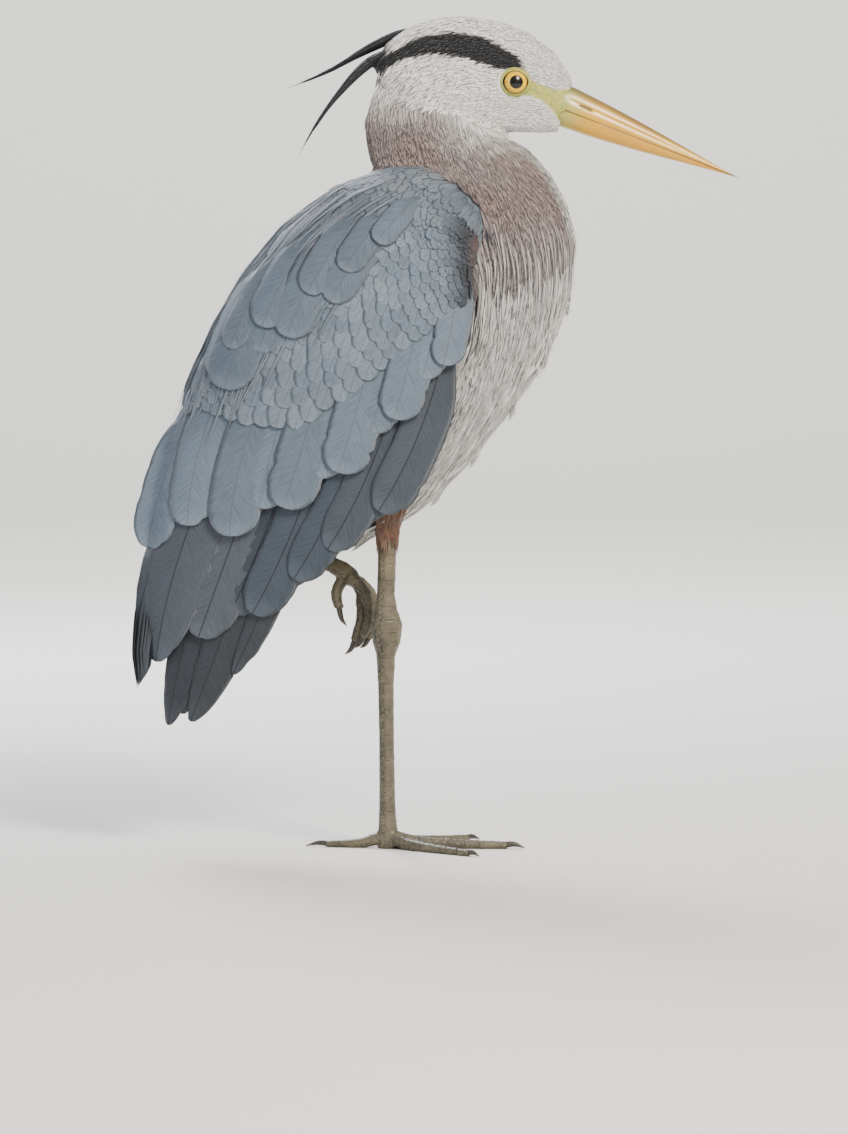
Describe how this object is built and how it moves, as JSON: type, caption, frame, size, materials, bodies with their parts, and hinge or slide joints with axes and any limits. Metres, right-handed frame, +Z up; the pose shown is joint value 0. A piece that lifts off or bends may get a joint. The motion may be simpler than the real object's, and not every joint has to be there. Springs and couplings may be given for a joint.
{
  "type": "great blue heron",
  "caption": "Life-size still model of a heron at rest with a leg tucked up, its neck drawn in, its wings folded and its bill lowered.",
  "frame": {"origin": "middle of the standing foot's flat sole, on the floor", "axes": "+X the way the bird faces, +Y its left side, +Z up"},
  "size_m": [0.4862, 0.1518, 0.6652],
  "materials": {
    "face_feathers": "short dense white face feathers with a black stripe over each eye",
    "neck_feathers": "fine pinkish grey neck feathers, white in front with black streaks",
    "breast_feathers": "long loose pale grey plumes over a white and black streaked breast",
    "body_feathers": "soft grey body feathers, black and white on the belly",
    "back_feathers": "blue grey back feathers with long silvery plumes",
    "covert_feathers": "blue grey wing coverts with paler edges",
    "flight_feathers": "smooth slate black flight and tail feathers",
    "thigh_feathers": "short rusty thigh feathers",
    "black_plumes": "slender black crest plumes",
    "bill_horn": "smooth yellow orange horn, dusky along the ridge",
    "eyes": "wet glossy eye with a yellow iris and black pupil",
    "leg_skin": "dark olive brown scaly skin",
    "claw_horn": "dark polished horn"
  },
  "bodies": {
    "root": {"head": "face_feathers", "neck_upper": "neck_feathers", "neck_lower": "neck_feathers", "breast": "breast_feathers", "trunk": "body_feathers", "mantle": "back_feathers", "tail": "flight_feathers", "thigh_right": "thigh_feathers", "thigh_left": "thigh_feathers", "crest_upper": "black_plumes", "crest_lower": "black_plumes", "bill_upper": "bill_horn", "bill_lower": "bill_horn", "eye_right": "eyes", "eye_left": "eyes", "shank_right": "leg_skin", "ankle_right": "leg_skin", "tarsus_right": "leg_skin", "tarsus_left": "leg_skin", "wing_right_coverts": "covert_feathers", "wing_right_secondaries": "flight_feathers", "wing_right_primaries": "flight_feathers", "toe_right_middle": "leg_skin", "claw_right_middle": "claw_horn", "toe_right_inner": "leg_skin", "claw_right_inner": "claw_horn", "toe_right_outer": "leg_skin", "claw_right_outer": "claw_horn", "toe_right_hind": "leg_skin", "claw_right_hind": "claw_horn", "wing_left_coverts": "covert_feathers", "wing_left_secondaries": "flight_feathers", "wing_left_primaries": "flight_feathers", "toe_left_middle": "leg_skin", "claw_left_middle": "claw_horn", "toe_left_inner": "leg_skin", "claw_left_inner": "claw_horn", "toe_left_outer": "leg_skin", "claw_left_outer": "claw_horn", "toe_left_hind": "leg_skin", "claw_left_hind": "claw_horn"}
  },
  "joints": []
}
